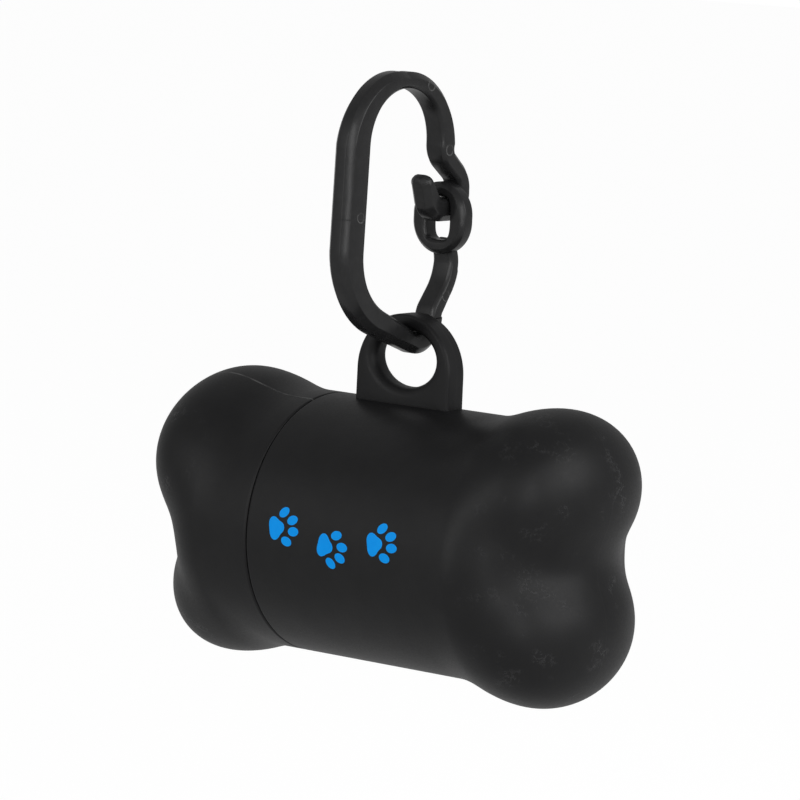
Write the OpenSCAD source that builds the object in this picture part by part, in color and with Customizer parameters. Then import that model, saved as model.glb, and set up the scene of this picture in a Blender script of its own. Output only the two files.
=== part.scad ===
// Bone-shaped dispenser for a roll of dog waste bags, hanging from a one-piece snap clip.
// The bone's axis is X, the printed front faces -Y and the clip stands up along +Z.
// The origin is the centre of the clip's crown, where a leash ring bears.

/* [Bag roll] */
// Radius of the full roll
roll_r = 15; // [13:0.1:16]
// Length of the roll
roll_len = 56; // [50:0.5:60]
// Place of the roll's middle along the bone
roll_x = -1; // [-1.5:0.1:-0.5]
// Outer radius of the paper core
core_r = 6.5; // [5:0.1:8]
// Wall of the paper core
core_wall = 0.9; // [0.5:0.1:1.4]
// How far the core stands out of each end of the roll
core_proud = 0.4; // [0:0.1:0.8]
// Gap between the roll and the case that it lies in
roll_gap = 0.3; // [0.2:0.1:1]
// Width of the first bag as it is folded on the roll
bag_w = 20; // [14:1:21]
// Thickness of the folded bag
bag_t = 0.8; // [0.4:0.1:1]
// Length of the first bag outside the slot
bag_tail = 12; // [8:1:20]

/* [Case and cap] */
// Room round the roll, on the radius
bay_room = 3; // [2:0.1:4]
// Wall of the case and of the cap
wall = 2; // [1.6:0.1:2.3]
// From each end of the roll to the tips of the knuckles beyond it
end_room = 11.9; // [11:0.1:14]
// From the eye to the joint between case and cap
joint_x = 14.3; // [12:0.1:17]
// Turn of the cap against the case, in degrees
cap_twist = 15; // [-30:1:30]
// Rounding of the case's rim at the joint
rim_round = 0.5; // [0.2:0.1:0.9]

/* [Knuckles] */
// Half length of a knuckle along the bone
knuckle_rx = 9.3; // [8:0.1:11]
// Half height of a knuckle
knuckle_rz = 11.7; // [10.5:0.1:13]
// How far a knuckle stands above the barrel
knuckle_bulge = 2.1; // [1:0.1:3]
// How far a knuckle stays inside the barrel at front and back
knuckle_inset = 4.6; // [3:0.1:6]
// From the knuckle tips back to the barrel's rounded end
end_dip = 8.7; // [7:0.1:10]
// Rounding of the barrel's end between the knuckles
end_round = 7.5; // [5:0.5:9]
// Width of the blend between knuckle and barrel
blend = 6.8; // [4:0.2:9]

/* [Push fit] */
// Length of the neck that the cap slides over
neck_len = 6.5; // [4:0.1:8]
// Wall of the neck
neck_wall = 0.95; // [0.7:0.05:1.2]
// Running clearance between neck and cap, on the radius
fit_gap = 0.05; // [0.03:0.01:0.1]
// Free length past the neck inside the cap
neck_end_gap = 0.4; // [0.2:0.1:1]

/* [Eye] */
// Width of the eye tab
tab_w = 17.8; // [16:0.1:20]
// Thickness of the eye tab
tab_t = 4; // [3.4:0.1:4.2]
// Height of the tab above the barrel
tab_h = 13.7; // [13:0.1:15]
// Width of the hole in the tab
eye_w = 11.5; // [11:0.1:13.4]
// Height of the hole in the tab
eye_h = 8.7; // [7.5:0.1:9.2]
// Material above the hole
eye_bar = 2.5; // [2:0.1:3]
// Rounding of the hole's rim
eye_round = 1.5; // [1.2:0.1:1.6]

/* [Bag slot] */
// Length of the slot that the bags leave by
slot_len = 26; // [22:1:30]
// Room over and under the bag in the slot
slot_room = 0.85; // [0.5:0.05:1.5]
// Place of the slot's centre along the bone
slot_x = 4; // [0:0.5:6]

/* [Clip] */
// Inner radius of the crown
crown_r = 8.6; // [8:0.1:9.4]
// Height of the crown's centre above the hole in the tab
crown_rise = 28.2; // [26:0.1:32]
// Place of the crown's centre, in front of the eye
crown_front = 5.3; // [4.8:0.05:6.2]
// Lean of the spine, in degrees
spine_lean = 1.8; // [0:0.1:3]
// Width of the clip along the bone
clip_w = 3.8; // [3.4:0.1:4]
// Bevel along the clip's outer edges
clip_bevel = 1; // [0.6:0.05:1.05]
// Bevel along the edges that face the clip's window
inner_bevel = 0.55; // [0.3:0.05:0.8]
// Bevel of the stretch that lies in the eye
eye_bevel = 1; // [0.8:0.05:1.1]
// Thickness of the spine
spine_t = 5; // [4:0.1:5.5]
// Thickness of the crown
crown_t = 2.4; // [2.2:0.1:3]
// Thickness of the two arms
arm_t = 3.2; // [2.8:0.1:3.4]
// Thickness of the stretch that lies in the eye
bar_t = 2.9; // [2.5:0.1:3.1]
// Thickness of the hook's bend and of its tip
hook_t = 3.5; // [2.9:0.1:3.6]
tip_t = 2.4; // [2:0.1:2.6]
// Gap between the clip and the top of the hole in the tab
clip_gap = 0.7; // [0.4:0.1:0.9]
// Outer width of the link that the hook catches in
link_w = 10; // [9.4:0.1:11]
// Outer height of the link
link_h = 11; // [10.6:0.1:12]
// Width of the link's bar at its sides
link_side = 2.8; // [2.4:0.1:2.8]
// Width of the link's bar at its top and bottom
link_end = 2.2; // [2:0.1:2.5]
// Thickness of the link
link_t = 3.1; // [2.7:0.1:3.2]
// Gap between the link and the hook round it
link_gap = 0.35; // [0.2:0.05:0.5]
// Height of the lower arm's elbow above the stretch in the eye
elbow_rise = 8.2; // [7.6:0.1:8.8]
// Height of the heel, where the spine bends in under the eye
heel_rise = 6.6; // [6:0.1:7.2]

/* [Hidden] */

OUT_SIDES = 64;      // sides round the outer shell
IN_SIDES = 40;       // sides round the cavity
ARC_RINGS = 11;      // rings over the knuckle end
FLANK_RINGS = 6;     // rings where the knuckle swells out of the barrel
ROUND = 96;
past = 1;            // how far a cutter runs past what it cuts

end_pole = 15;       // from the knuckle tips to the point the end rings fan out from
flank = 9;           // length over which the knuckle swells out of the barrel
case_reach = roll_len / 2 + roll_x + end_room;
cap_reach = roll_len / 2 - roll_x + end_room;
barrel_r = roll_r + bay_room + wall;
knuckle_ry = barrel_r - knuckle_inset;
knuckle_z = barrel_r + knuckle_bulge - knuckle_rz;

neck_r = barrel_r - wall + neck_wall;
neck_tip = joint_x + neck_len;
tab_top = barrel_r + tab_h;
tab_r = tab_w / 2;
eye_top = tab_top - eye_bar;
eye_z = eye_top - eye_h / 2;

bore_r = barrel_r - wall;
roll_z = roll_gap - bay_room;

// The first bag leaves the roll along the tangent that runs out through the slot's middle.
slot_y = barrel_r - wall / 2;
bag_r = roll_r + roll_gap + bag_t / 2;
slot_far = norm([slot_y, roll_z]);
bag_free = sqrt(slot_far * slot_far - bag_r * bag_r);
bag_angle = atan2(-roll_z, slot_y) + acos(bag_r / slot_far) - 90;
slot_h = wall * tan(-bag_angle) + bag_t / cos(bag_angle) + 2 * slot_room;

// ---------- the bone's outer form: a rounded barrel melted into two knuckles ----------

function melt(a, b, k) =
    let (h = min(1, max(0, 0.5 + 0.5 * (b - a) / k)))
    b * (1 - h) + a * h - k * h * (1 - h);

function off_knuckle(p, x, z) =
    let (q = [(p.x - x) / knuckle_rx, p.y / knuckle_ry, (p.z - z) / knuckle_rz],
         g = norm([q.x / knuckle_rx, q.y / knuckle_ry, q.z / knuckle_rz]))
    norm(q) * (norm(q) - 1) / max(g, 0.001);

function off_barrel(p, reach) =
    let (x = p.x - (reach - end_dip) + end_round,
         r = norm([p.y, p.z]) - barrel_r + end_round)
    norm([max(x, 0), max(r, 0)]) + min(max(x, r), 0) - end_round;

// Signed distance, about, from the half bone whose knuckle tips lie at x = reach
function off_bone(p, reach) =
    let (x = reach - knuckle_rx)
    melt(melt(off_knuckle(p, x, knuckle_z), off_knuckle(p, x, -knuckle_z), blend),
         off_barrel(p, reach), blend);

// Distance along d from o to the surface that lies `inset` inside the bone
function hit(o, d, reach, inset, lo = 0, hi = 48, n = 13) =
    let (m = (lo + hi) / 2)
    n == 0 ? m
    : off_bone(o + d * m, reach) < -inset ? hit(o, d, reach, inset, m, hi, n - 1)
    : hit(o, d, reach, inset, lo, m, n - 1);

function ring(x, tilt, reach, inset, sides) =
    [for (j = [0 : sides - 1])
        let (a = 360 * j / sides, d = [sin(tilt), cos(tilt) * cos(a), cos(tilt) * sin(a)])
        [x, 0, 0] + d * hit([x, 0, 0], d, reach, inset)];

function disc(x, r, sides) =
    [for (j = [0 : sides - 1]) let (a = 360 * j / sides) [x, r * cos(a), r * sin(a)]];

// Skin over a list of equal rings, closed by a flat face at the first and a point at the last
module skin(rings, apex) {
    n = len(rings[0]);
    last = len(rings) - 1;
    polyhedron(
        points = [each [for (r = rings) each r], apex],
        faces = [
            [for (j = [0 : n - 1]) j],
            for (i = [0 : last - 1], j = [0 : n - 1]) [i * n + j, (i + 1) * n + j, i * n + (j + 1) % n],
            for (i = [0 : last - 1], j = [0 : n - 1])
                [i * n + (j + 1) % n, (i + 1) * n + j, (i + 1) * n + (j + 1) % n],
            for (j = [0 : n - 1]) [last * n + j, (last + 1) * n, last * n + (j + 1) % n]
        ],
        convexity = 6);
}

// Half a bone from x = start to its knuckle tips, `inset` inside the outer surface
module half_bone(start, reach, inset, sides, rim) {
    pole = reach - end_pole;
    r = barrel_r - inset;
    skin(
        concat(
            [disc(start, r - rim, sides)],
            rim > 0 ? [disc(start + rim, r, sides)] : [],
            [for (i = [0 : FLANK_RINGS]) ring(pole - flank * (1 - i / FLANK_RINGS), 0, reach, inset, sides)],
            [for (i = [1 : ARC_RINGS - 1]) ring(pole, 90 * i / ARC_RINGS, reach, inset, sides)]),
        [pole + hit([pole, 0, 0], [1, 0, 0], reach, inset), 0, 0]);
}

module along_x(x0, x1, r) {
    translate([x0, 0, 0]) rotate([0, 90, 0]) cylinder(h = x1 - x0, r = r, $fn = ROUND);
}

// ---------- the eye tab: an arched bar swept round the hole, its rims rounded ----------

TAB_STATIONS = 56;
tab_root = barrel_r - wall / 2;

function eye_edge(a) =
    let (c = cos(a) / (eye_w / 2), s = sin(a) / (eye_h / 2)) 1 / norm([c, s]);

// From the hole's centre out to the arch, the straight sides or the root
function tab_edge(a) =
    let (c = cos(a), s = sin(a), up = tab_top - tab_r - eye_z,
         arch = up * s + sqrt(tab_r * tab_r - up * up * c * c))
    arch * s >= up ? arch : min(tab_r / max(abs(c), 0.001), s < 0 ? (eye_z - tab_root) / -s : 99);

function bar_outline(r0, r1, half, round0, round1) =
    [for (k = [[r0, -1, round0, 180], [r1, -1, round1, 270], [r1, 1, round1, 0], [r0, 1, round0, 90]])
        for (i = [0 : 3])
            let (a = k[3] + 30 * i, side = k[0] == r0 ? 1 : -1)
            [k[0] + side * k[2] + k[2] * cos(a), k[1] * (half - k[2]) + k[2] * sin(a)]];

// A closed bar through a round of equal sections
module hoop(sections) {
    count = len(sections);
    n = len(sections[0]);
    polyhedron(
        points = [for (s = sections) each s],
        faces = [for (i = [0 : count - 1], j = [0 : n - 1], half = [0, 1])
            let (a = i * n, b = ((i + 1) % count) * n, k = (j + 1) % n)
            half == 0 ? [a + j, b + j, a + k] : [a + k, b + j, b + k]],
        convexity = 8);
}

module eye_tab() {
    hoop([for (i = [0 : TAB_STATIONS - 1])
        let (a = 360 * i / TAB_STATIONS)
        [for (p = bar_outline(eye_edge(a), tab_edge(a), tab_t / 2, eye_round, 0.5))
            [p[0] * cos(a), p[1], eye_z + p[0] * sin(a)]]]);
}

// ---------- the snap clip: one bar swept along its inner edge, with a link at one end ----------

clip_floor = eye_top - clip_gap;      // inner edge of the stretch in the eye
crown_y = -crown_front;
crown_z = eye_top + crown_rise;
skim = 0.08;                          // the sweep stays this far inside the crown's true radius
window = crown_r - skim;
arm_y = crown_y + window;             // inner edge of the upper arm
link_y = tab_t / 2 + 4.3;             // middle of the link's thickness
link_top = crown_z - 5.95;
throat_z = link_top - link_end - link_gap;
stem_y = link_y + link_t / 2 + link_gap;
tongue_y = link_y - link_t / 2 - 1.1;  // inner edge of the hook's tongue at the throat
foot_y = tab_t / 2 + 0.4;             // inner edge of the arm behind the tab
heel_z = clip_floor + heel_rise;

// The spine's inner edge, leaning and tangent to the crown, at height z
function spine_y(z) = crown_y + ((z - crown_z) * sin(spine_lean) - window) / cos(spine_lean);

// Corners of the clip's inner edge, from the link down, round the eye, up the spine and over:
// y, z, corner radius, thickness before and after the corner, outer and inner bevel
CORNERS = [
    [link_y - 0.8, link_top - link_h + 1.1, 0, 2.4, 2.4, 0.75, inner_bevel],
    [link_y + 0.3, link_top - link_h - 0.6, 3, 2.4, 2.6, 0.75, inner_bevel],
    [link_y - 0.4, clip_floor + elbow_rise, 7, arm_t - 0.2, arm_t - 0.2, clip_bevel, inner_bevel],
    [foot_y, clip_floor + 3.7, 4.4, arm_t, arm_t, clip_bevel, inner_bevel],
    [foot_y, clip_floor - 1.04, 1.9, bar_t + 0.2, bar_t, eye_bevel, eye_bevel],
    [spine_y(heel_z), heel_z, 9.7, spine_t - 1.2, spine_t, clip_bevel, inner_bevel],
    [spine_y(crown_z + window), crown_z + window, window, spine_t, crown_t, clip_bevel, inner_bevel],
    [arm_y, crown_z + window, window, crown_t, arm_t + 0.6, clip_bevel, inner_bevel],
    [arm_y, crown_z - 2.5, 4.6, arm_t + 0.6, arm_t, clip_bevel, inner_bevel],
    [stem_y, link_top - 0.2, 2, arm_t - 0.2, arm_t - 0.2, clip_bevel, inner_bevel],
    [stem_y, throat_z, 0.9, arm_t - 0.2, hook_t, clip_bevel, inner_bevel],
    [tongue_y, throat_z, 0.9, hook_t, hook_t - 0.3, clip_bevel, inner_bevel],
    [tongue_y - 2.8, link_top + 1.8, 0, tip_t, tip_t, clip_bevel, inner_bevel]
];

function unit(v) = v / norm(v);
function turned(v, a) = [v[0] * cos(a) - v[1] * sin(a), v[0] * sin(a) + v[1] * cos(a)];
function spot(i) = [CORNERS[i][0], CORNERS[i][1]];

// Stations round corner i: place, heading, thickness, outer and inner bevel, full size
function corner(i) =
    let (q = CORNERS[i], u = unit(spot(i) - spot(i - 1)), v = unit(spot(i + 1) - spot(i)),
         turn = atan2(u[0] * v[1] - u[1] * v[0], u * v),
         start = spot(i) - u * q[2] * tan(abs(turn) / 2),
         hub = start + turned(u, turn < 0 ? -90 : 90) * q[2],
         steps = ceil(abs(turn) / 9))
    [for (k = [0 : steps])
        [hub + turned(start - hub, turn * k / steps), turned(u, turn * k / steps),
         q[3] + (q[4] - q[3]) * k / steps, q[5], q[6], 1]];

TIP_ROUND = 1.8;
LAST = len(CORNERS) - 1;

function tip() =
    let (q = CORNERS[LAST], u = unit(spot(LAST) - spot(LAST - 1)))
    [for (a = [0 : 15 : 75]) [spot(LAST) + u * TIP_ROUND * (sin(a) - 1), u, q[3], q[5], q[6], cos(a)]];

function clip_ring(s) =
    let (side = turned(s[1], 90), t = s[2], c = s[3], d = s[4], w = clip_w / 2)
    [for (p = [[0, -w + d], [0, w - d], [d, w], [t - c, w], [t, w - c], [t, -w + c], [t - c, -w], [d, -w]])
        let (n = t / 2 + (p[0] - t / 2) * s[5])
        [p[1] * s[5], s[0][0] + side[0] * n, s[0][1] + side[1] * n]];

module clip_bar() {
    first = unit(spot(1) - spot(0));
    stations = concat(
        [[spot(0), first, CORNERS[0][3], CORNERS[0][5], CORNERS[0][6], 1]],
        [for (i = [1 : LAST - 1]) each corner(i)],
        tip());
    rings = [for (s = stations) clip_ring(s)];
    m = len(rings);
    polyhedron(
        points = [for (r = rings) each r],
        faces = [
            [for (j = [0 : 7]) 7 - j],
            [for (j = [0 : 7]) (m - 1) * 8 + j],
            for (i = [0 : m - 2], j = [0 : 7], half = [0, 1])
                let (a = i * 8, b = (i + 1) * 8, k = (j + 1) % 8)
                half == 0 ? [a + j, a + k, b + j] : [a + k, b + k, b + j]
        ],
        convexity = 8);
}

LINK_STATIONS = 48;

// From the link's middle out to the edge of its squarish window
function window_edge(a) =
    let (c = abs(cos(a)) / (link_w / 2 - link_side), s = abs(sin(a)) / (link_h / 2 - link_end))
    pow(pow(c, 3) + pow(s, 3), -1 / 3);

// From the link's middle out to its round ends or its straight sides
function link_edge(a) =
    let (c = abs(cos(a)), s = abs(sin(a)), r = link_w / 2, up = link_h / 2 - r,
         arch = up * s + sqrt(r * r - up * up * c * c))
    arch * s >= up ? arch : r / c;

module link() {
    hoop([for (i = [0 : LINK_STATIONS - 1])
        let (a = 360 * i / LINK_STATIONS)
        [for (p = bar_outline(window_edge(a), link_edge(a), link_t / 2, inner_bevel, 0.7))
            [p[0] * cos(a), link_y + p[1], link_top - link_h / 2 + p[0] * sin(a)]]]);
}

// ---------- sub-parts ----------

module in_frame() {
    translate([0, -crown_y, -crown_z]) children();
}

module bag_slot() {
    r = slot_h / 2;
    d = slot_len / 2 - r;
    translate([slot_x, bore_r - 2 * past, 0]) rotate([-90, 0, 0]) {
        for (s = [-1, 1]) translate([s * d, 0, 0]) cylinder(h = wall + 4 * past, r = r, $fn = ROUND);
        translate([-d, -r, 0]) cube([2 * d, slot_h, wall + 4 * past]);
    }
}

module case_body() {
    color("#26272a") in_frame() difference() {
        union() {
            half_bone(-joint_x, case_reach, 0, OUT_SIDES, rim_round);
            along_x(-neck_tip, past - joint_x, neck_r);
            eye_tab();
        }
        half_bone(-neck_tip - past, case_reach, wall, IN_SIDES, 0);
        bag_slot();
    }
}

module end_cap() {
    color("#26272a") in_frame() rotate([cap_twist, 0, 0]) mirror([1, 0, 0]) difference() {
        half_bone(joint_x, cap_reach, 0, OUT_SIDES, 0);
        half_bone(joint_x - past, cap_reach, wall, IN_SIDES, 0);
        along_x(joint_x - past, neck_tip + neck_end_gap, neck_r + fit_gap);
    }
}

module snap_clip() {
    color("#2e2f31") in_frame() {
        difference() {
            clip_bar();
            translate([0, crown_y, crown_z]) along_x(-clip_w, clip_w, crown_r);
        }
        link();
    }
}

module bag_roll() {
    color("#3a6ea8") in_frame() translate([0, 0, roll_z]) difference() {
        along_x(roll_x - roll_len / 2, roll_x + roll_len / 2, roll_r);
        along_x(roll_x - roll_len / 2 - past, roll_x + roll_len / 2 + past, core_r + fit_gap);
    }
}

module roll_core() {
    half = roll_len / 2 + core_proud;
    color("#a98e6a") in_frame() translate([0, 0, roll_z]) difference() {
        along_x(roll_x - half, roll_x + half, core_r);
        along_x(roll_x - half - past, roll_x + half + past, core_r - core_wall);
    }
}

module lead_bag() {
    color("#3a6ea8") in_frame() translate([slot_x, slot_y, 0]) rotate([bag_angle, 0, 0])
        translate([-bag_w / 2, -bag_free, -bag_t / 2]) cube([bag_w, bag_free + bag_tail, bag_t]);
}

case_body();
end_cap();
snap_clip();
bag_roll();
roll_core();
lead_bag();
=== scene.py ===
from math import atan2, cos, degrees, hypot, pi, radians, sin, sqrt, tan

import bmesh
import bpy
import numpy as np
from mathutils import Matrix, Vector


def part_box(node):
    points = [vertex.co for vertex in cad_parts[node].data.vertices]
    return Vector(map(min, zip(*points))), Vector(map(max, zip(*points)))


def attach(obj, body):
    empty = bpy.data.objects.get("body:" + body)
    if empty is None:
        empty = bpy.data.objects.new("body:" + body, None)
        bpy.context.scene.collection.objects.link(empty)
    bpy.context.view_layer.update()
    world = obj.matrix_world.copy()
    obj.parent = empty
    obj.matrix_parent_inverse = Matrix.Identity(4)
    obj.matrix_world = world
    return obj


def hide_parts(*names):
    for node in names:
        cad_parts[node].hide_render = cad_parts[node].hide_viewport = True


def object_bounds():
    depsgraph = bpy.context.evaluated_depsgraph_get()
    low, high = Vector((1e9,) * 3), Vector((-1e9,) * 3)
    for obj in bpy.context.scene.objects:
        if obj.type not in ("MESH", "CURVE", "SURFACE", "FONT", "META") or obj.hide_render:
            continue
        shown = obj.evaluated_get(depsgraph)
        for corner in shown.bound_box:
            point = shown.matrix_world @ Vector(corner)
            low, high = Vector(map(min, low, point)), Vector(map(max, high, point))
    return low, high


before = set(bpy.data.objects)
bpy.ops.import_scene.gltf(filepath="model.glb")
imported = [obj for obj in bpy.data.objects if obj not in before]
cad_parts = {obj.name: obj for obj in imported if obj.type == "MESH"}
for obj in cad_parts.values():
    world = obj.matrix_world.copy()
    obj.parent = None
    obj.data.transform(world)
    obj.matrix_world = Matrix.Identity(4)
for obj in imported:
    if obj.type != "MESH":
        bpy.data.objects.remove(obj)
cad_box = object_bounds()

# ---- Camera -------------------------------------------------------------------------------
# A long lens a little above the bone and to the right of its printed front. Its place is
# written in metres about the middle of the bone, on the line that the cap is round.

cap_low, cap_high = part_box("end_cap")
bone_middle = Vector((0.0, (cap_low.y + cap_high.y) / 2, (cap_low.z + cap_high.z) / 2))
view_azimuth = radians(38.2)
view_height = radians(7.34)
view_roll = radians(2.62)
view_distance = 0.7593
view_aside = -0.001342
view_up = 0.020243

ahead = Vector((sin(view_azimuth), -cos(view_azimuth), 0.0))
toward_view = ahead * cos(view_height) + Vector((0.0, 0.0, sin(view_height)))
level = Vector((cos(view_azimuth), sin(view_azimuth), 0.0))
upright = toward_view.cross(level)
view_right = level * cos(view_roll) + upright * sin(view_roll)
view_top = upright * cos(view_roll) - level * sin(view_roll)
lens = bpy.data.cameras.new("camera")
lens.lens = 225.0
lens.sensor_width = 36.0
lens.sensor_fit = "HORIZONTAL"
camera = bpy.data.objects.new("camera", lens)
camera.matrix_world = Matrix((view_right, view_top, toward_view)).transposed().to_4x4()
camera.location = bone_middle + toward_view * view_distance + level * view_aside + upright * view_up
bpy.context.scene.collection.objects.link(camera)
bpy.context.scene.camera = camera

# ---- Case ---------------------------------------------------------------------------------
# The long half of a hollow bone with a neck for the cap, an eye tab on top and a slot for
# the bags at the back. It is moulded in one shot of matte black polypropylene, and the two
# halves of its mould meet in a faint line along the top and the bottom.

# The sizes are in millimetres about the bone's middle, and MM turns them into metres.
MM = 0.001
barrel_r = 20.0
wall = 2.0
knuckle = np.array([9.3, 15.4, 11.7])
knuckle_off = 10.4
end_dip = 8.7
end_round = 7.5
melting = 6.8
seam_x = -cap_high.x / MM
end_pole = 15.0
flank = 9.0
case_reach = 38.9
neck_r = 18.95
neck_len = 6.5
rim_round = 0.35
crisp = 0.02
skin_sides = 180


def melt(a, b):
    share = np.clip(0.5 + 0.5 * (b - a) / melting, 0.0, 1.0)
    return b * (1 - share) + a * share - melting * share * (1 - share)


def outside_knuckle(p, x, z):
    q = (p - np.array([x, 0.0, z])) / knuckle
    size = np.linalg.norm(q, axis=-1)
    return size * (size - 1) / np.maximum(np.linalg.norm(q / knuckle, axis=-1), 0.001)


def outside_barrel(p, reach):
    x = p[..., 0] - (reach - end_dip) + end_round
    r = np.hypot(p[..., 1], p[..., 2]) - barrel_r + end_round
    return np.hypot(np.maximum(x, 0), np.maximum(r, 0)) + np.minimum(np.maximum(x, r), 0) - end_round


def outside_bone(p, reach):
    x = reach - knuckle[0]
    knuckles = melt(outside_knuckle(p, x, knuckle_off), outside_knuckle(p, x, -knuckle_off))
    return melt(knuckles, outside_barrel(p, reach))


def bone_ring(x, tilt, reach, inset):
    """Points of the bone's skin round (x, 0, 0), seen from there at `tilt` off the cross-section."""
    turn = np.arange(skin_sides) * 2 * pi / skin_sides
    lean = np.full(skin_sides, sin(tilt))
    out = np.stack([lean, cos(tilt) * np.cos(turn), cos(tilt) * np.sin(turn)], -1)
    start = np.array([x, 0.0, 0.0])
    near, far = np.zeros(skin_sides), np.full(skin_sides, 2.4 * barrel_r)
    for _ in range(28):
        mid = (near + far) / 2
        inside = outside_bone(start + out * mid[:, None], reach) < -inset
        near, far = np.where(inside, mid, near), np.where(inside, far, mid)
    return start + out * near[:, None]


def round_ring(x, r):
    turn = np.arange(skin_sides) * 2 * pi / skin_sides
    return np.stack([np.full(skin_sides, x), r * np.cos(turn), r * np.sin(turn)], -1)


def knuckle_rings(start, reach, inset, detail):
    """Rings from x = start on the barrel, over the knuckles, to just short of the end's middle."""
    pole = reach - end_pole
    swell = pole - flank
    along_barrel = np.linspace(start, swell, max(2, round(detail * 0.4)))
    along_flank = np.linspace(swell, pole, round(detail * 0.5))[1:]
    rings = [bone_ring(x, 0.0, reach, inset) for x in (*along_barrel, *along_flank)]
    rings += [bone_ring(pole, tilt, reach, inset) for tilt in np.linspace(0, pi / 2, detail)[1:-1]]
    return rings


def end_point(reach, inset):
    """The middle of the knuckle end, where its rings close."""
    return bone_ring(reach - end_pole, pi / 2, reach, inset)[0]


def quarter_turn(x, r, radius, first, last, steps=5):
    """Round rings along a small arc in the half-plane of x and r, angles in degrees."""
    arc = np.radians(np.linspace(first, last, steps))
    return [round_ring(x + radius * cos(a), r + radius * sin(a)) for a in arc]


def skin_mesh(name, rings, first_point, last_point):
    """A closed skin through equal rings, with a point in the middle of each end."""
    sides = len(rings[0])
    points = np.concatenate([*rings, [first_point], [last_point]])
    head, tail = len(points) - 2, len(points) - 1
    faces = []
    for i in range(len(rings) - 1):
        for j in range(sides):
            k = (j + 1) % sides
            faces.append((i * sides + j, (i + 1) * sides + j, (i + 1) * sides + k, i * sides + k))
    last = (len(rings) - 1) * sides
    for j in range(sides):
        k = (j + 1) % sides
        faces.append((head, j, k))
        faces.append((tail, last + k, last + j))
    mesh = bpy.data.meshes.new(name)
    mesh.from_pydata([tuple(p) for p in points], [], faces)
    return mesh


def put_in_frame(mesh):
    """From millimetres about the bone's middle to metres in the frame."""
    mesh.transform(Matrix.Translation(bone_middle) @ Matrix.Scale(MM, 4))
    mesh.update()


def finish_piece(name, mesh, material, body, replaced=(), smooth_below=35):
    """Puts a mesh in the scene in its material, on its body and in place of its CAD nodes."""
    mesh.materials.clear()
    mesh.materials.append(material)
    mesh.shade_smooth()
    mesh.set_sharp_from_angle(angle=radians(smooth_below))
    piece = bpy.data.objects.new(name, mesh)
    bpy.context.scene.collection.objects.link(piece)
    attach(piece, body)
    if replaced:
        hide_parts(*replaced)
    return piece


def add_node(tree, kind, inputs=(), **settings):
    """A new node with its settings, and with its inputs linked or set."""
    made = tree.nodes.new(kind)
    for key, value in settings.items():
        setattr(made, key, value)
    for key, value in dict(inputs).items():
        if isinstance(value, bpy.types.NodeSocket):
            tree.links.new(value, made.inputs[key])
        else:
            made.inputs[key].default_value = value
    return made


class Finish:
    """A material that is built up node by node."""

    def __init__(self, name, colour, roughness, specular):
        self.material = bpy.data.materials.new(name)
        self.material.use_nodes = True
        self.tree = self.material.node_tree
        self.shader = self.tree.nodes["Principled BSDF"]
        self.shader.inputs["Base Color"].default_value = (*colour, 1.0)
        self.shader.inputs["Roughness"].default_value = roughness
        self.shader.inputs["Specular IOR Level"].default_value = specular
        self.place = self.node("ShaderNodeTexCoord").outputs["Object"]
        self.relief = None

    def node(self, kind, inputs=(), **settings):
        return add_node(self.tree, kind, inputs, **settings)

    def maths(self, operation, *values):
        return self.node("ShaderNodeMath", dict(enumerate(values)), operation=operation).outputs[0]

    def vector(self, operation, *values):
        return self.node("ShaderNodeVectorMath", dict(enumerate(values)), operation=operation).outputs

    def axes(self, vector):
        return self.node("ShaderNodeSeparateXYZ", {0: vector}).outputs

    def grain(self, size, detail=2.0, roughness=0.5, stretch=(1.0, 1.0, 1.0)):
        """Noise whose lumps are about `size` millimetres."""
        placed = self.node("ShaderNodeMapping", {"Vector": self.place, "Scale": stretch}).outputs[0]
        inputs = {"Vector": placed, "Scale": 1.0 / (size * MM), "Detail": detail, "Roughness": roughness}
        return self.node("ShaderNodeTexNoise", inputs).outputs["Fac"]

    def between(self, value, low, high, to_low=0.0, to_high=1.0):
        limits = {"Value": value, "From Min": low, "From Max": high, "To Min": to_low, "To Max": to_high}
        return self.node("ShaderNodeMapRange", limits).outputs[0]

    def emboss(self, height, depth):
        """Adds relief of `depth` millimetres where height is 1."""
        bump = self.node("ShaderNodeBump", {"Height": height, "Distance": depth * MM, "Strength": 1.0})
        if self.relief is not None:
            self.tree.links.new(self.relief, bump.inputs["Normal"])
        self.relief = bump.outputs["Normal"]

    def mix_colour(self, share, first, second):
        """From the first colour to the second; a mix node keeps its colours in sockets 6 and 7."""
        pair = [c if isinstance(c, bpy.types.NodeSocket) else (*c, 1.0) for c in (first, second)]
        inputs = {0: share, 6: pair[0], 7: pair[1]}
        return self.node("ShaderNodeMix", inputs, data_type="RGBA").outputs[2]

    def drive(self, name, value):
        self.tree.links.new(value, self.shader.inputs[name])

    def done(self):
        if self.relief is not None:
            self.tree.links.new(self.relief, self.shader.inputs["Normal"])
        return self.material


neck_tip = -seam_x - neck_len
bore_r = barrel_r - wall
inner_rings = [*reversed(knuckle_rings(neck_tip + 0.3, case_reach, wall, 36))]
neck_round = 0.25
neck_rings = [round_ring(neck_tip, bore_r + neck_round)]
neck_rings += quarter_turn(neck_tip + neck_round, neck_r - neck_round, neck_round, 180, 90)
neck_rings += [round_ring(-seam_x - crisp, neck_r), round_ring(-seam_x, neck_r + crisp)]
rim_rings = quarter_turn(-seam_x + rim_round, barrel_r - rim_round, rim_round, 180, 90)
outer_rings = knuckle_rings(-seam_x + rim_round + 0.1, case_reach, 0.0, 84)
case_rings = inner_rings + neck_rings + rim_rings + outer_rings
inner_tip, outer_tip = end_point(case_reach, wall), end_point(case_reach, 0.0)
case_mesh = skin_mesh("case", case_rings, inner_tip, outer_tip)

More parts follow.
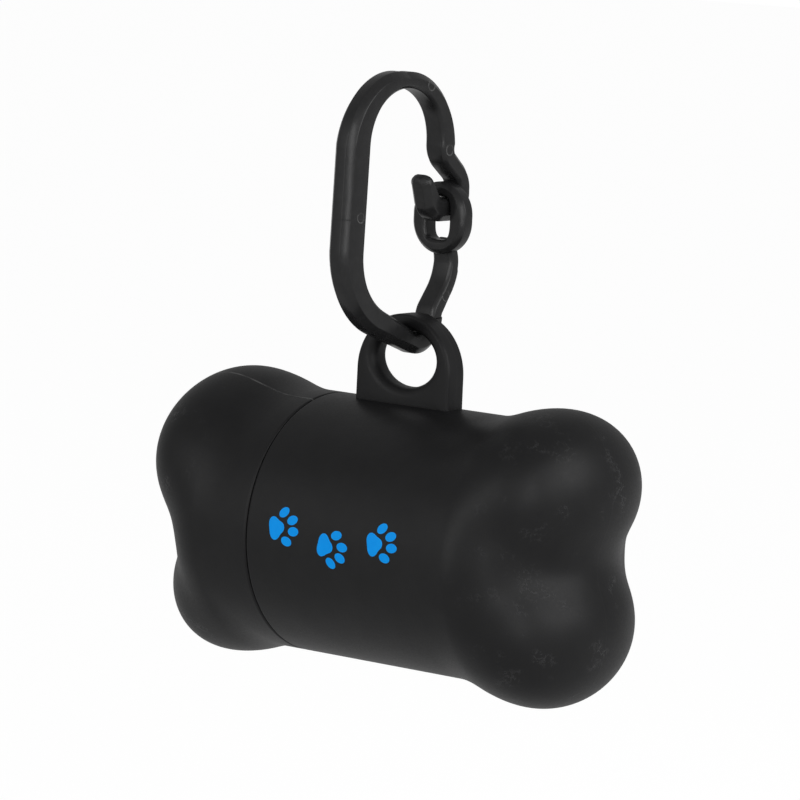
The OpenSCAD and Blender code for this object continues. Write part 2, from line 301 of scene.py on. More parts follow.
# The slot, cut with a flared tool so that its edges come out rounded on both sides. The flare
# is given as pairs: the level over the barrel's skin, and how far the outline is spread there.
slot_x = 4.0
slot_len = 26.0
slot_h = 5.0
slot_flare = [(-3.4, 1.1), (-2.15, 0.6), (-1.95, 0.3), (-1.75, 0.08), (-1.5, 0.0)]
slot_flare += [(-0.45, 0.0), (-0.28, 0.06), (-0.13, 0.2), (-0.03, 0.42), (0.08, 0.8), (0.5, 2.0)]
slot_sides = 72
slot_inside, slot_outside = (slot_x, 16.0, 0.0), (slot_x, 21.0, 0.0)


def slot_ring(level, spread):
    """The slot's outline `level` above the barrel's skin, moved out by `spread`."""
    ring = []
    for k in range(slot_sides):
        turn = 2 * pi * k / slot_sides
        side = (slot_len - slot_h) / 2 * (1 if cos(turn) >= 0 else -1)
        x = side + slot_h / 2 * cos(turn)
        z = slot_h / 2 * sin(turn)
        skin = (barrel_r**2 - z**2) ** 0.5
        ring.append((slot_x + x + spread * cos(turn), skin + level, z + spread * sin(turn)))
    return np.array(ring)


slot_rings = [slot_ring(level, spread) for level, spread in slot_flare]
slot_tool = skin_mesh("slot_tool", slot_rings, slot_inside, slot_outside)

# The eye tab: a flat arch swept round its hole, which is well rounded where the clip rubs.
tab_w = 17.8
tab_t = 4.0
tab_top = barrel_r + 13.7
eye_w = 11.5
eye_h = 8.7
eye_bridge = 2.5
eye_z = tab_top - eye_bridge - eye_h / 2
eye_round = 1.5
tab_round = 0.5
tab_sides = 168


def eye_edge(turn):
    return 1 / hypot(cos(turn) / (eye_w / 2), sin(turn) / (eye_h / 2))


def tab_edge(turn):
    """From the middle of the hole to the arch, to a straight side or to the root in the barrel."""
    arch_r = tab_w / 2
    rise = tab_top - arch_r - eye_z
    arch = rise * sin(turn) + (arch_r**2 - (rise * cos(turn)) ** 2) ** 0.5
    if arch * sin(turn) >= rise:
        return arch
    root = (eye_z - barrel_r + wall / 2) / -sin(turn) if sin(turn) < 0 else 99.0
    return min(arch_r / max(abs(cos(turn)), 0.001), root)


def tab_section(inner, outer):
    """Outline of the tab between its hole and its edge, as pairs of distance and depth."""
    front = [(inner, -1, eye_round, 180), (outer, -1, tab_round, 270)]
    back = [(outer, 1, tab_round, 0), (inner, 1, eye_round, 90)]
    outline = []
    for edge, side, radius, start in front + back:
        middle = edge + radius if edge == inner else edge - radius
        depth = side * (tab_t / 2 - radius)
        for a in np.radians(np.linspace(start, start + 90, 9)):
            outline.append((middle + radius * cos(a), depth + radius * sin(a)))
    return outline


def closed_sweep(name, rings, loop):
    """A mesh through equal rings, joined end to start if it is a loop, or closed by flat ends."""
    count, sides = len(rings), len(rings[0])
    points = [tuple(p) for ring in rings for p in ring]
    faces = []
    for i in range(count if loop else count - 1):
        for j in range(sides):
            here, there, k = i * sides, (i + 1) % count * sides, (j + 1) % sides
            faces.append((here + j, here + k, there + k, there + j))
    if not loop:
        faces.append(tuple(reversed(range(sides))))
        faces.append(tuple(range((count - 1) * sides, count * sides)))
    mesh = bpy.data.meshes.new(name)
    mesh.from_pydata(points, [], faces)
    return mesh


def joined(name, parts):
    shape = bmesh.new()
    for part in parts:
        shape.from_mesh(part)
    bmesh.ops.recalc_face_normals(shape, faces=shape.faces)
    mesh = bpy.data.meshes.new(name)
    shape.to_mesh(mesh)
    shape.free()
    return mesh


def cut(mesh, tool):
    """The mesh less the tool, both as plain meshes."""
    body = bpy.data.objects.new("cut_body", mesh)
    cutter = bpy.data.objects.new("cut_tool", tool)
    bpy.context.scene.collection.objects.link(body)
    bpy.context.scene.collection.objects.link(cutter)
    change = body.modifiers.new("cut", "BOOLEAN")
    change.operation = "DIFFERENCE"
    change.solver = "EXACT"
    change.object = cutter
    bpy.context.view_layer.update()
    result = bpy.data.meshes.new_from_object(body.evaluated_get(bpy.context.evaluated_depsgraph_get()))
    for part in (body, cutter):
        bpy.data.objects.remove(part)
    return result


tab_rings = []
for turn in np.arange(tab_sides) * 2 * pi / tab_sides:
    section = tab_section(eye_edge(turn), tab_edge(turn))
    tab_rings.append([(r * cos(turn), depth, eye_z + r * sin(turn)) for r, depth in section])
tab_mesh = closed_sweep("eye_tab", tab_rings, loop=True)

slotted_mesh = cut(joined("case", [case_mesh]), joined("slot_tool", [slot_tool]))
case_mesh = joined("case", [slotted_mesh, tab_mesh])
put_in_frame(case_mesh)


def moulded_black(name, lean, line_relief_and_highlight):
    """Matte black polypropylene with its fine texture, its mould line and ends rubbed in use. The mould
    line is a slight ridge, and a painted highlight is laid along it.
    """
    black = Finish(name, (0.009, 0.009, 0.0095), 0.42, 0.22)
    texture = black.grain(0.32, 2.0, 0.6)
    waves = black.grain(9.0, 1.0, 0.4)
    patches = black.grain(5.0, 3.0, 0.6)
    apart = black.vector("SUBTRACT", black.place, tuple(bone_middle))[0]
    off_middle = black.maths("ABSOLUTE", black.axes(apart)["X"])
    at_ends = black.between(off_middle, 23 * MM, 33 * MM)
    off_vein = black.maths("ABSOLUTE", black.maths("SUBTRACT", black.grain(1.6, 4.0, 0.7), 0.5))
    veins = black.between(off_vein, 0.0, 0.035, 1.0, 0.0)
    fine_scuffs = black.maths("MULTIPLY", veins, black.between(patches, 0.56, 0.68))
    rubbed = black.maths("MULTIPLY", fine_scuffs, at_ends)
    across = black.vector("DOT_PRODUCT", apart, (0.0, cos(lean), sin(lean)))["Value"]
    stray = black.between(black.grain(4.0, 1.0), 0.0, 1.0, -0.12 * MM, 0.12 * MM)
    off_line = black.maths("ABSOLUTE", black.maths("ADD", across, stray))
    line = black.between(off_line, 0.1 * MM, 0.22 * MM, 1.0, 0.0)
    black.emboss(waves, 0.14)
    black.emboss(texture, 0.011)
    black.emboss(rubbed, 0.02)
    black.emboss(line, line_relief_and_highlight)
    matte = black.between(texture, 0.3, 0.7, 0.38, 0.46)
    black.drive("Roughness", black.maths("SUBTRACT", matte, black.maths("MULTIPLY", rubbed, 0.12)))
    toned = black.between(patches, 0.3, 0.7)
    tone = black.mix_colour(toned, (0.008, 0.008, 0.0085), (0.0105, 0.0105, 0.011))
    worn = black.mix_colour(black.maths("MULTIPLY", rubbed, 0.65), tone, (0.05, 0.05, 0.052))
    # Painted highlight: the mould line is also coloured light grey, broken up in patches, as if it
    # caught the light. Its strength follows the line's height, so it is strong on the cap and faint on
    # the case.
    line_highlight_breakup = black.between(black.grain(3.0, 1.0), 0.38, 0.62, 0.25, 1.0)
    edge = black.maths("MULTIPLY", black.maths("MULTIPLY", line, line_highlight_breakup), min(1.0, line_relief_and_highlight * 6))
    black.drive("Base Color", black.mix_colour(edge, worn, (0.13, 0.13, 0.13)))
    return black.done()


case_black = moulded_black("case_black", 0.0, 0.004)
finish_piece("case", case_mesh, case_black, "case", ["case_body"])

# ---- End cap ------------------------------------------------------------------------------
# The short half of the bone, moulded in the same black. It pushes onto the neck, stands
# 15 degrees out of line with the case, and has its own mould line over the top.

cap_reach = 40.9
cap_twist = radians(15)
socket_r = neck_r + 0.05
socket_end = neck_len + seam_x + 0.4
mouth_round = 0.35
mouth_gap = 0.12
mouth_x = seam_x + mouth_gap
cap_outer = knuckle_rings(mouth_x + mouth_round + 0.1, cap_reach, 0.0, 84)
cap_mouth = quarter_turn(mouth_x + mouth_round, barrel_r - mouth_round, mouth_round, 90, 180)
cap_socket = [round_ring(mouth_x, socket_r + 0.15), round_ring(mouth_x + 0.15, socket_r)]
cap_socket += [round_ring(socket_end - crisp, socket_r), round_ring(socket_end, socket_r - crisp)]
cap_inner = knuckle_rings(socket_end, cap_reach, wall, 36)
cap_mesh = skin_mesh(
    "end_cap",
    [*reversed(cap_outer), *cap_mouth, *cap_socket, *cap_inner],
    end_point(cap_reach, 0.0),
    end_point(cap_reach, wall),
)
cap_mesh.transform(Matrix.Rotation(cap_twist, 4, "X") @ Matrix.Scale(-1.0, 4, (1.0, 0.0, 0.0)))
cap_mesh = joined("end_cap", [cap_mesh])
put_in_frame(cap_mesh)
# The cap's mould line stands higher, so its painted highlight line is strong.
cap_black = moulded_black("cap_black", cap_twist, 0.13)
finish_piece("cap", cap_mesh, cap_black, "cap", ["end_cap"])

# ---- Snap clip ----------------------------------------------------------------------------
# One springy bar of satin black acetal, bent round in the mould: up the spine, over the
# crown and down to a hook, which snaps into the link at the end of the lower arm.

crown = -bone_middle.y / MM, -bone_middle.z / MM
clip_sag = 0.7
clip_floor = tab_top - eye_bridge - clip_sag
crown_r = 8.52
spine_lean = radians(1.8)
clip_w = 3.8
spine_t, crown_t, arm_t, bar_t, hook_t, tip_t = 5.0, 2.4, 3.2, 2.9, 3.5, 2.4
outer_bevel, inner_bevel, rubbed_bevel, hook_bevel, bevel_round = 1.0, 0.55, 1.0, 0.4, 0.25
tip_round = 1.8
link_w, link_h, link_t, link_gap = 10.0, 11.0, 3.1, 0.25
link_side, link_end = 2.8, 2.2
window_power = 4
link_off, link_drop = 4.3, 5.95
tongue_gap, foot_gap = 1.1, 0.4
link_y = tab_t / 2 + link_off
link_top = crown[1] - link_drop
throat_z = link_top - link_end - link_gap
stem_y = link_y + link_t / 2 + link_gap
tongue_y = link_y - link_t / 2 - tongue_gap
foot_y = tab_t / 2 + foot_gap
arm_y = crown[0] + crown_r


def spine_y(z):
    return crown[0] + ((z - crown[1]) * sin(spine_lean) - crown_r) / cos(spine_lean)


# The bar's inner edge: y, z, corner radius, thickness before and after, outer and inner bevel.
heel_z = clip_floor + 6.6
edges = outer_bevel, inner_bevel
bends = [
    (link_y - 0.8, link_top - link_h + 1.1, 0.0, 2.4, 2.4, 0.75, inner_bevel),
    (link_y + 0.3, link_top - link_h - 0.6, 3.0, 2.4, 2.6, 0.75, inner_bevel),
    (link_y - 0.4, clip_floor + 8.2, 7.0, arm_t - 0.2, arm_t - 0.2, *edges),
    (foot_y, clip_floor + 3.7, 3.9, arm_t, arm_t, *edges),
    (foot_y, clip_floor - 0.7, 2.1, bar_t + 0.54, bar_t + 0.34, rubbed_bevel, rubbed_bevel),
    (spine_y(heel_z), heel_z, 9.7, spine_t - 1.2, spine_t, *edges),
    (spine_y(crown[1] + crown_r), crown[1] + crown_r, crown_r, spine_t, crown_t, *edges),
    (arm_y, crown[1] + crown_r, crown_r, crown_t, arm_t + 0.6, *edges),
    (arm_y, crown[1] - 2.5, 4.6, arm_t + 0.6, arm_t, *edges),
    (stem_y, link_top - 0.2, 2.0, arm_t - 0.2, arm_t - 0.2, *edges),
    (stem_y, throat_z, 0.9, arm_t - 0.2, hook_t, outer_bevel, hook_bevel),
    (tongue_y, throat_z, 0.9, hook_t, hook_t - 0.3, outer_bevel, hook_bevel),
    (tongue_y - 2.8, link_top + 1.8, 0.0, tip_t, tip_t, *edges),
]


def between_sizes(first, last, share):
    return [a + (b - a) * share for a, b in zip(first, last)]


def bar_stations():
    """Place, heading and sizes along the bar, close enough together to look smooth."""
    spots = [Vector(bend[:2]) for bend in bends]
    stations = [(spots[0], (spots[1] - spots[0]).normalized(), bends[0][4:])]
    for before, spot, after, bend in zip(spots, spots[1:], spots[2:], bends[1:]):
        heading, leaving = (spot - before).normalized(), (after - spot).normalized()
        turn = atan2(heading.cross(leaving), heading.dot(leaving))
        start = spot - heading * bend[2] * tan(abs(turn) / 2)
        side = Vector((-heading.y, heading.x)) * (1 if turn > 0 else -1)
        hub = start + side * bend[2]
        arriving, departing = (bend[3], *bend[5:]), bend[4:]
        last_place, _, last_sizes = stations[-1]
        run = max(2, round((start - last_place).length / 0.6))
        for k in range(1, run):
            place = last_place.lerp(start, k / run)
            stations.append((place, heading, between_sizes(last_sizes, arriving, k / run)))
        steps = max(6, round(abs(degrees(turn)) / 3))
        for k in range(steps + 1):
            turned = Matrix.Rotation(turn * k / steps, 2)
            sizes = between_sizes(arriving, departing, k / steps)
            stations.append((hub + turned @ (start - hub), turned @ heading, sizes))
    last_place, heading, last_sizes = stations[-1]
    end = spots[-1] - heading * tip_round
    run = round((end - last_place).length / 0.3)
    for k in range(1, run + 1):
        sizes = between_sizes(last_sizes, bends[-1][4:], k / run)
        stations.append((last_place.lerp(end, k / run), heading, sizes))
    return stations


def bar_section(width, thickness, outer_slope, inner_slope):
    """Bevelled bar, as pairs across it and through its thickness, with each edge a little round."""
    soft = bevel_round
    half_width, half_depth = width / 2 - soft, thickness / 2 - soft
    slopes = inner_slope, outer_slope, outer_slope, inner_slope
    outline = []
    for corner, slope in enumerate(slopes):
        x_sign = 1 if corner in (0, 1) else -1
        y_sign = 1 if corner in (1, 2) else -1
        leg = max(0.02, slope - soft * (2 - sqrt(2)))
        ends = [(half_width - leg, half_depth), (half_width, half_depth - leg)]
        if corner % 2:
            ends.reverse()
        for k, (across, depth) in enumerate(ends):
            first = corner * 90 - 90 + k * 45
            for a in np.radians(np.linspace(first, first + 45, 3)):
                through = thickness / 2 + y_sign * depth + soft * sin(a)
                outline.append((x_sign * across + soft * cos(a), through))
    return outline


def bar_ring(spot, heading, sizes, shrink=1.0):
    outward = Vector((-heading.y, heading.x))
    ring = []
    for across, through in bar_section(clip_w, *sizes):
        place = spot + outward * (sizes[0] / 2 + (through - sizes[0] / 2) * shrink)
        ring.append((across * shrink, place.x, place.y))
    return ring


stations = bar_stations()
bar_rings = [bar_ring(*station) for station in stations]
end_spot, end_heading, end_sizes = stations[-1]
for a in np.radians(np.arange(8, 89, 8)):
    spot = end_spot + end_heading * tip_round * sin(a)
    bar_rings.append(bar_ring(spot, end_heading, end_sizes, cos(a)))
bar_mesh = closed_sweep("clip_bar", bar_rings, loop=False)


def window_edge(turn):
    """From the link's middle out to the edge of its squarish window."""
    across = abs(cos(turn)) / (link_w / 2 - link_side)
    upward = abs(sin(turn)) / (link_h / 2 - link_end)
    return (across**window_power + upward**window_power) ** (-1 / window_power)


def link_edge(turn):
    """From the link's middle out to its round ends or its straight sides."""
    run = (link_h - link_w) / 2
    arch = run * abs(sin(turn)) + sqrt((link_w / 2) ** 2 - (run * cos(turn)) ** 2)
    return arch if arch * abs(sin(turn)) >= run else link_w / 2 / abs(cos(turn))


link_rings = []
for turn in np.radians(np.arange(0, 360, 4)):
    inner = window_edge(turn)
    ring = []
    for across, through in bar_section(link_t, link_edge(turn) - inner, 0.7, 0.45):
        r = inner + through
        ring.append((r * cos(turn), link_y + across, link_top - link_h / 2 + r * sin(turn)))
    link_rings.append(ring)
link_mesh = closed_sweep("clip_link", link_rings, loop=True)
clip_mesh = joined("clip", [bar_mesh, link_mesh])
put_in_frame(clip_mesh)


def pin_mark_with_glint(finish, y, z, across):
    """The mark that an ejector pin leaves: a ring, deepest at its lower side, which also carries a
    painted highlight there.
    """
    r = across / 2 * MM
    middle = (0.0, bone_middle.y + y * MM, bone_middle.z + z * MM)
    apart = finish.vector("SUBTRACT", finish.place, middle)[0]
    flat = finish.vector("MULTIPLY", apart, (0.0, 1.0, 1.0))[0]
    length = finish.vector("LENGTH", flat)["Value"]
    off_rim = finish.maths("ABSOLUTE", finish.maths("SUBTRACT", length, r))
    lower_side = finish.between(finish.axes(apart)["Z"], -r, r, 1.0, 0.1)
    ring = finish.between(off_rim, 0.04 * MM, 0.15 * MM, 1.0, 0.0)
    return finish.maths("MULTIPLY", ring, lower_side)


# Each pin's place, y and z in millimetres from the bone's middle, and its width.
pin_marks = [(-15.9, 49.0, 1.5), (-0.3, 68.3, 1.6), (4.8, 58.4, 1.6), (5.5, 36.2, 1.6)]
insert_z = bone_middle.z + 48.7 * MM

satin = Finish("clip_black", (0.017, 0.017, 0.0175), 0.34, 0.28)
flow = satin.grain(4.0, 2.0, 0.5, stretch=(1.0, 1.0, 0.35))
handled = satin.grain(1.8, 3.0, 0.6)
pin_rings_and_glints = 0.0
for mark in pin_marks:
    pin_rings_and_glints = satin.maths("ADD", pin_mark_with_glint(satin, *mark), pin_rings_and_glints)
pin_rings_and_glints = satin.maths("MULTIPLY", pin_rings_and_glints, satin.between(satin.grain(0.7, 1.0), 0.4, 0.6, 0.25, 1.0))
here = satin.axes(satin.place)
on_spine = satin.between(here["Y"], -8.5 * MM, -7.5 * MM, 1.0, 0.0)
above_insert = satin.between(here["Z"], insert_z, insert_z + 0.15 * MM)
satin.emboss(flow, 0.1)
satin.emboss(satin.maths("MULTIPLY", above_insert, on_spine), 0.03)
satin.emboss(pin_rings_and_glints, 0.2)
satin.drive("Roughness", satin.between(handled, 0.3, 0.7, 0.22, 0.26))
tone = satin.mix_colour(satin.between(handled, 0.45, 0.75), (0.016, 0.016, 0.0165), (0.02, 0.02, 0.0205))
# Painted highlight: the pin rings are coloured light grey, most at their lower side, as if their rims
# caught the light.
satin.drive("Base Color", satin.mix_colour(pin_rings_and_glints, tone, (0.16, 0.16, 0.16)))
finish_piece("clip", clip_mesh, satin.done(), "clip", ["snap_clip"])

# ---- Bag roll -----------------------------------------------------------------------------
# Fifteen bags of thin blue polyethylene film, folded lengthways and wound on the core. The
# turns lie a little unevenly, so the ends show their edges and the outside is wrinkled.

roll_low, roll_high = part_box("bag_roll")
roll_r = (roll_high.y - roll_low.y) / 2 / MM
roll_x = (roll_low.x / MM, roll_high.x / MM)
roll_z = ((roll_low.z + roll_high.z) / 2 - bone_middle.z) / MM
core_r = 6.5
roll_sides = 144
wander = np.random.default_rng(7)


def wrinkles(count, slowest, fastest):
    """A few waves that run at random slants round and along the roll."""
    rounds = wander.integers(slowest, fastest, count)
    slants = wander.uniform(-0.5, 0.5, count)
    starts = wander.uniform(0, 2 * pi, count)
    waves = list(zip(rounds, slants, starts))
    return lambda turn, x: sum(np.cos(n * turn + s * x + p) for n, s, p in waves) / count


outer_wrinkles = wrinkles(9, 2, 15)
roll_turn = np.arange(roll_sides) * 2 * pi / roll_sides


def film_ring(x, r):
    along = np.full(roll_sides, 1.0) * x
    return np.stack([along, r * np.cos(roll_turn), roll_z + r * np.sin(roll_turn)], -1)


def film_end(x, facing, radii):
    """One end of the roll: each turn of film ends a little in or out of the last."""
    rings = []
    for r in radii:
        depth = wander.uniform(0.05, 0.32) + 0.08 * np.cos(roll_turn * 2 + r)
        rings.append(film_ring(x - facing * depth, r))
    return rings


outer_r = roll_r - crisp
end_radii = np.linspace(core_r + 0.12, outer_r - 0.45, 34)
shoulder = [(0.16, 0.28), (0.45, 0.14)]
roll_rings = film_end(roll_x[0], -1, end_radii)
roll_rings += [film_ring(roll_x[0] + back, outer_r - down) for back, down in shoulder]
for x in np.linspace(roll_x[0] + 0.9, roll_x[1] - 0.9, 90):
    near_end = min(1.0, (x - roll_x[0]) / 3, (roll_x[1] - x) / 3)
    loose = 0.11 * (1 - outer_wrinkles(roll_turn, x)) * near_end
    roll_rings.append(film_ring(x, outer_r - loose))
roll_rings += [film_ring(roll_x[1] - back, outer_r - down) for back, down in reversed(shoulder)]
roll_rings += film_end(roll_x[1], 1, end_radii[::-1])
roll_rings += [film_ring(x, core_r + 0.06) for x in np.linspace(roll_x[1] - 0.6, roll_x[0] + 0.6, 12)]
roll_mesh = closed_sweep("bag_roll", roll_rings, loop=True)
roll_mesh = joined("bag_roll", [roll_mesh])
put_in_frame(roll_mesh)


def blue_film(name, creases):
    film = Finish(name, (0.028, 0.15, 0.42), 0.3, 0.45)
    stretch = (0.22, 1.0, 1.0)
    crinkle = film.grain(2.6, 3.0, 0.55, stretch)
    fine = film.grain(0.7, 3.0, 0.6, stretch)
    film.emboss(crinkle, creases)
    film.emboss(fine, creases * 0.3)
    thinner = film.between(crinkle, 0.35, 0.65)
    film.drive("Base Color", film.mix_colour(thinner, (0.022, 0.12, 0.36), (0.04, 0.19, 0.5)))
    film.drive("Roughness", film.between(fine, 0.3, 0.7, 0.24, 0.4))
    return film.done()


finish_piece("roll", roll_mesh, blue_film("wound_film", 0.12), "roll", ["bag_roll"])

# ---- Core ---------------------------------------------------------------------------------
# A tube of brown paper strips, wound on a slant and glued, which the film is wound on. It
# stands a little out of both ends, where it is cut square with a slightly ragged edge.

core_low, core_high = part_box("roll_core")
core_x = (core_low.x / MM, core_high.x / MM)
core_wall = 0.9
strip_pitch = 22.0


def paper_ring(x, r, seam_depth=0.0):
    lap = ((roll_turn / (2 * pi) + x / strip_pitch) % 1.0 - 0.5) * strip_pitch
    seam = seam_depth * np.exp(-((lap / 0.35) ** 2))
    return film_ring(x, r - seam + wander.normal(0, 0.006, roll_sides))


cut_round = 0.12
core_bore = core_r - core_wall
core_first, core_last = core_x[0] + cut_round, core_x[1] - cut_round
core_rings = [paper_ring(x, core_r, 0.1) for x in np.linspace(core_first, core_last, 110)]
core_rings += [paper_ring(core_x[1] - crisp, r) for r in (core_r - cut_round, core_bore + cut_round)]
core_rings += [paper_ring(x, core_bore, -0.08) for x in np.linspace(core_last, core_first, 60)]
core_rings += [paper_ring(core_x[0] + crisp, r) for r in (core_bore + cut_round, core_r - cut_round)]
core_mesh = closed_sweep("roll_core", core_rings, loop=True)
core_mesh = joined("roll_core", [core_mesh])
put_in_frame(core_mesh)

paper = Finish("brown_paper", (0.42, 0.28, 0.16), 0.85, 0.25)
fibres = paper.grain(0.8, 4.0, 0.7, stretch=(0.4, 1.0, 1.0))
blotches = paper.grain(4.0, 3.0, 0.6)
paper.emboss(fibres, 0.05)
pale_fibres = paper.between(fibres, 0.3, 0.7)
paper.drive("Base Color", paper.mix_colour(pale_fibres, (0.33, 0.21, 0.115), (0.5, 0.35, 0.21)))
paper.drive("Roughness", paper.between(blotches, 0.3, 0.7, 0.78, 0.92))
finish_piece("core", core_mesh, paper.done(), "roll", ["roll_core"])

# ---- Lead bag -----------------------------------------------------------------------------
# The first bag, still folded in four lengthways, comes off the top of the roll and hangs
# out of the slot by its torn end. Nothing but the slot guides it.

bag_w = 20.0
bag_tail = 12.0
bag_t = 0.8
bag_start = 0.3
bag_stop = 0.2
roll_gap = 0.3
off_roll = roll_r + roll_gap + bag_t / 2
slot_y = barrel_r - wall / 2
slot_far = hypot(slot_y, roll_z)
bag_free = (slot_far**2 - off_roll**2) ** 0.5
bag_slope = atan2(-roll_z, slot_y) + np.arccos(off_roll / slot_far) - pi / 2
bag_length = bag_free + bag_tail - bag_start - bag_stop
film_t = 0.05
layer_gap = 0.13
layer_edge = 0.15
layer_tuck = 0.35
bag_layers = 4
bag_rows = 64
bag_columns = 28
puckers = wrinkles(7, 1, 4)


def bag_point(across, along, level):
    """A point of the strip: across it and along it from the slot, `level` above its middle."""
    free = min(1.0, max(0.0, (along + bag_free) / 5))
    out = max(0.0, along - 1.0) / bag_tail
    pucker = 0.17 * free * float(puckers(across * 0.55, along * 0.9))
    spread = level * (1 + 1.2 * out)
    droop = 1.1 * out**2 * (1 + 0.25 * cos(across * 0.3))
    lift = spread + pucker - droop
    y = slot_y + along * cos(bag_slope) - lift * sin(bag_slope)
    z = along * sin(bag_slope) + lift * cos(bag_slope)
    return slot_x + across, y, z


def bag_profile():
    """Across the strip and back, four layers on each other, first one face and then the other."""
    line = []
    for layer in range(bag_layers):
        level = (layer - (bag_layers - 1) / 2) * layer_gap
        half = bag_w / 2 - layer_edge - layer_tuck * (layer % 2)
        steps = np.linspace(-half, half, bag_columns) * (1 if layer % 2 == 0 else -1)
        line += [(across, level) for across in steps]
    over = [(across, level + film_t / 2) for across, level in line]
    under = [(across, level - film_t / 2) for across, level in line]
    return over, under


over, under = bag_profile()
bag_rings = []
for row in range(bag_rows):
    along = bag_start - bag_free + bag_length * row / (bag_rows - 1)
    torn = 0.12 if row == bag_rows - 1 else 0.0
    ring = []
    for k, (across, level) in enumerate([*over, *reversed(under)]):
        ring.append(bag_point(across, along + torn * (-1) ** k, level))
    bag_rings.append(ring)
bag_mesh = bpy.data.meshes.new("lead_bag")
per_row = len(bag_rings[0])
half_row = per_row // 2
bag_faces = []
for row in range(bag_rows - 1):
    for k in range(per_row):
        here, there, nxt = row * per_row, (row + 1) * per_row, (k + 1) % per_row
        bag_faces.append((here + k, there + k, there + nxt, here + nxt))
for first in (0, (bag_rows - 1) * per_row):
    for k in range(half_row - 1):
        bag_faces.append((first + k, first + k + 1, first + per_row - 2 - k, first + per_row - 1 - k))
bag_mesh.from_pydata([tuple(p) for ring in bag_rings for p in ring], [], bag_faces)
bag_mesh = joined("lead_bag", [bag_mesh])
put_in_frame(bag_mesh)
bag_film = blue_film("bag_film", 0.1)
bag = finish_piece("bag", bag_mesh, bag_film, "bag", ["lead_bag"], smooth_below=60)

# ---- Print --------------------------------------------------------------------------------
# A trail of three paw prints, pad-printed in bright blue ink on the front of the barrel. The
# ink is a film a few hundredths thick that follows the plastic under it.

ink_level = 0.025
paw_places = [(-7.2, 1.9), (2.3, -0.1), (11.6, 1.9)]
paw_size = 6.1
# A paw is drawn about one unit wide. Each toe has its place and its lean in degrees.
toe_places = [(-0.36, 0.06, 24), (-0.14, 0.31, 8), (0.14, 0.31, -8), (0.36, 0.06, -24)]
toe_size = (0.115, 0.165)


def ink_dome(shape, outline, middle):
    """A patch of ink within an outline, finest at its rim, laid on the barrel."""
    rims = [(1.0, -0.03), (1.0, 0.4), (0.975, 0.85), (0.93, 1.0), (0.7, 1.0), (0.45, 1.0), (0.2, 1.0)]
    rings = []
    for share, height in rims:
        ring = []
        for u, v in outline:
            x, up = middle[0] + (u - middle[0]) * share, middle[1] + (v - middle[1]) * share
            r = barrel_r + ink_level * height
            ring.append(shape.verts.new((x, -r * cos(up / barrel_r), r * sin(up / barrel_r))))
        rings.append(ring)
    count = len(outline)
    for lower, upper in zip(rings, rings[1:]):
        for k in range(count):
            shape.faces.new((lower[k], lower[(k + 1) % count], upper[(k + 1) % count], upper[k]))
    shape.faces.new(rings[-1])
    shape.faces.new(rings[0][::-1])


def tilted(point, degrees_left):
    turned = Matrix.Rotation(radians(degrees_left), 2) @ Vector(point)
    return turned.x, turned.y


ink_shape = bmesh.new()
for paw_x, paw_z in paw_places:
    walk = -78 if paw_z > 1 else -102
    pad = []
    for a in np.radians(np.arange(0, 360, 7.5)):
        r = 0.235 + 0.035 * cos(3 * (a - pi / 2)) - 0.03 * sin(a)
        pad.append((1.12 * r * cos(a), r * sin(a) - 0.2))
    outlines = [(pad, (0.0, -0.2))]
    for toe_x, toe_y, lean in toe_places:
        toe = []
        for a in np.radians(np.arange(0, 360, 12)):
            u, v = tilted((toe_size[0] * cos(a), toe_size[1] * sin(a)), lean)
            toe.append((toe_x + u, toe_y + v))
        outlines.append((toe, (toe_x, toe_y)))
    for outline, middle in outlines:
        placed = [tilted((u * paw_size, v * paw_size), walk) for u, v in outline]
        centre = tilted((middle[0] * paw_size, middle[1] * paw_size), walk)
        placed = [(paw_x + u, paw_z + v) for u, v in placed]
        ink_dome(ink_shape, placed, (paw_x + centre[0], paw_z + centre[1]))
bmesh.ops.recalc_face_normals(ink_shape, faces=ink_shape.faces)
ink_mesh = bpy.data.meshes.new("paw_print")
ink_shape.to_mesh(ink_mesh)
ink_shape.free()
put_in_frame(ink_mesh)
ink = Finish("blue_ink", (0.002, 0.33, 0.95), 0.42, 0.1)
ink.emboss(ink.grain(0.3, 2.0, 0.6), 0.006)
ink_patches = ink.between(ink.grain(2.5), 0.3, 0.7)
ink.drive("Base Color", ink.mix_colour(ink_patches, (0.0015, 0.32, 0.93), (0.0025, 0.34, 0.96)))
finish_piece("paw_print", ink_mesh, ink.done(), "case")

# ---- Floor and light ----------------------------------------------------------------------
# A plain pale floor well below the hanging part, and three soft boxes: one high at the right,
# a tall one in front and a narrow one for the edges. The room is light behind the camera and
# darker behind the part, so that the black plastic keeps its modelling.

floor_z = cad_box[0].z - 0.06
floor_half = 3.0
floor_in_mirror = 0.2
floor_direct = 0.8
corners = [(x * floor_half, y * floor_half, floor_z) for x, y in ((-1, -1), (1, -1), (1, 1), (-1, 1))]
floor_mesh = bpy.data.meshes.new("floor")
floor_mesh.from_pydata(corners, [], [(0, 1, 2, 3)])
floor = bpy.data.objects.new("floor", floor_mesh)
bpy.context.scene.collection.objects.link(floor)
pale = Finish("pale_floor", (0.8, 0.8, 0.8), 0.9, 0.1)
white = pale.node("ShaderNodeEmission", {"Color": (1.0, 1.0, 1.0, 1.0), "Strength": 1.15}).outputs[0]
glance = pale.node("ShaderNodeLightPath").outputs
mirrored = pale.maths("MAXIMUM", glance["Is Glossy Ray"], glance["Is Transmission Ray"])
in_mirror = pale.maths("MULTIPLY", mirrored, floor_in_mirror)
direct = pale.maths("MULTIPLY", glance["Is Camera Ray"], floor_direct)
seen = pale.maths("MAXIMUM", in_mirror, direct)
shown = pale.node("ShaderNodeMixShader", {0: seen, 1: pale.shader.outputs[0], 2: white}).outputs[0]
pale.tree.links.new(shown, pale.tree.nodes["Material Output"].inputs["Surface"])
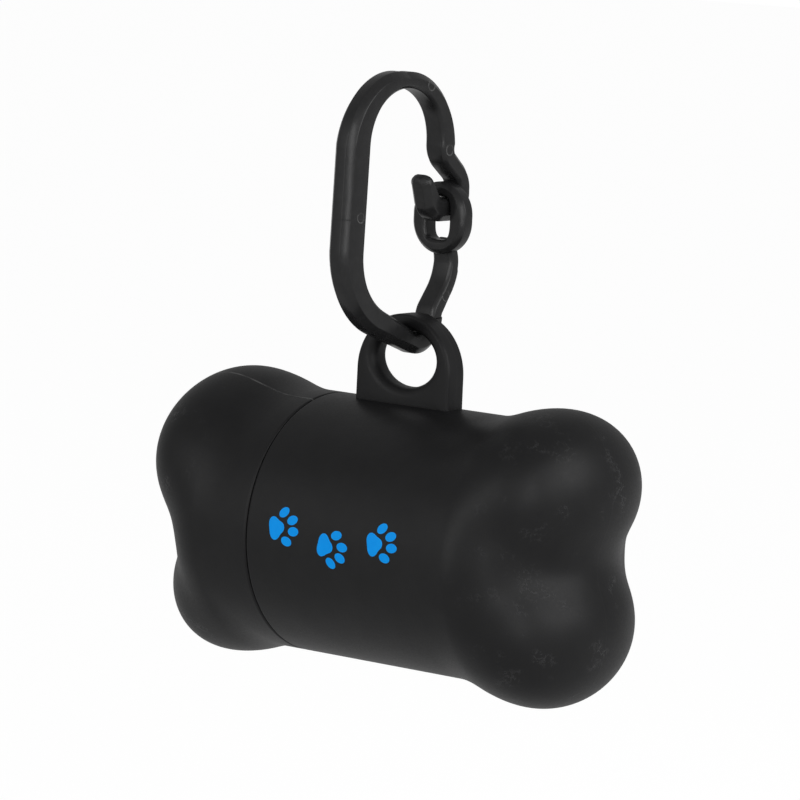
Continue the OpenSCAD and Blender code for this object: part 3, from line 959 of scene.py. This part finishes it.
floor_mesh.materials.append(pale.done())

room_dark = 0.3
room_light = 1.05
room_in_mirror = 0.35
ceiling_share = 0.35
world = bpy.data.worlds.new("studio")
bpy.context.scene.world = world
world.use_nodes = True
room = world.node_tree


def room_node(kind, *values, **settings):
    return add_node(room, kind, dict(enumerate(values)), **settings).outputs


def room_maths(operation, *values):
    return room_node("ShaderNodeMath", *values, operation=operation)[0]


def fade(value, low, high, to_low, to_high):
    limits = {"Value": value, "From Min": low, "From Max": high, "To Min": to_low, "To Max": to_high}
    return add_node(room, "ShaderNodeMapRange", limits, interpolation_type="SMOOTHSTEP").outputs[0]


outlook = room_node("ShaderNodeTexCoord")["Generated"]
facing = room_node("ShaderNodeVectorMath", outlook, tuple(toward_view), operation="DOT_PRODUCT")["Value"]
height = room_node("ShaderNodeSeparateXYZ", outlook)["Z"]
walls = fade(facing, -0.3, 0.6, room_dark, room_light)
ceiling = fade(height, 0.35, 0.8, 1.0, ceiling_share)
sight = room_node("ShaderNodeLightPath")
glimpse = room_maths("MAXIMUM", sight["Is Glossy Ray"], sight["Is Transmission Ray"])
backdrop = room_maths("MULTIPLY", glimpse, room_in_mirror)
grey = room_maths("MAXIMUM", room_maths("MULTIPLY", walls, ceiling), backdrop)
strength = room_maths("MAXIMUM", grey, sight["Is Camera Ray"])
room.links.new(strength, room.nodes["Background"].inputs["Strength"])
room.nodes["Background"].inputs["Color"].default_value = (1.0, 1.0, 1.0, 1.0)


def soft_box(name, direction, distance, width, height, brightness):
    """A lit panel that faces the bone from `direction`."""
    panel = bpy.data.lights.new(name, "AREA")
    panel.shape = "RECTANGLE"
    panel.size, panel.size_y = width, height
    panel.energy = brightness * pi * width * height
    lamp = bpy.data.objects.new(name, panel)
    aim = Vector(direction).normalized()
    lamp.location = bone_middle + aim * distance
    lamp.rotation_euler = aim.to_track_quat("Z", "Y").to_euler()
    lamp.visible_camera = False
    bpy.context.scene.collection.objects.link(lamp)


soft_box("right_box", (0.89, 0.15, 0.43), 0.6, 0.4, 0.4, 2.1)
soft_box("front_strip", (-0.25, -0.93, 0.1), 0.8, 0.15, 0.7, 2.5)
soft_box("edge_strip", (0.78, -0.61, 0.2), 0.8, 0.08, 0.6, 5.2)
bpy.context.scene.view_settings.view_transform = "Standard"
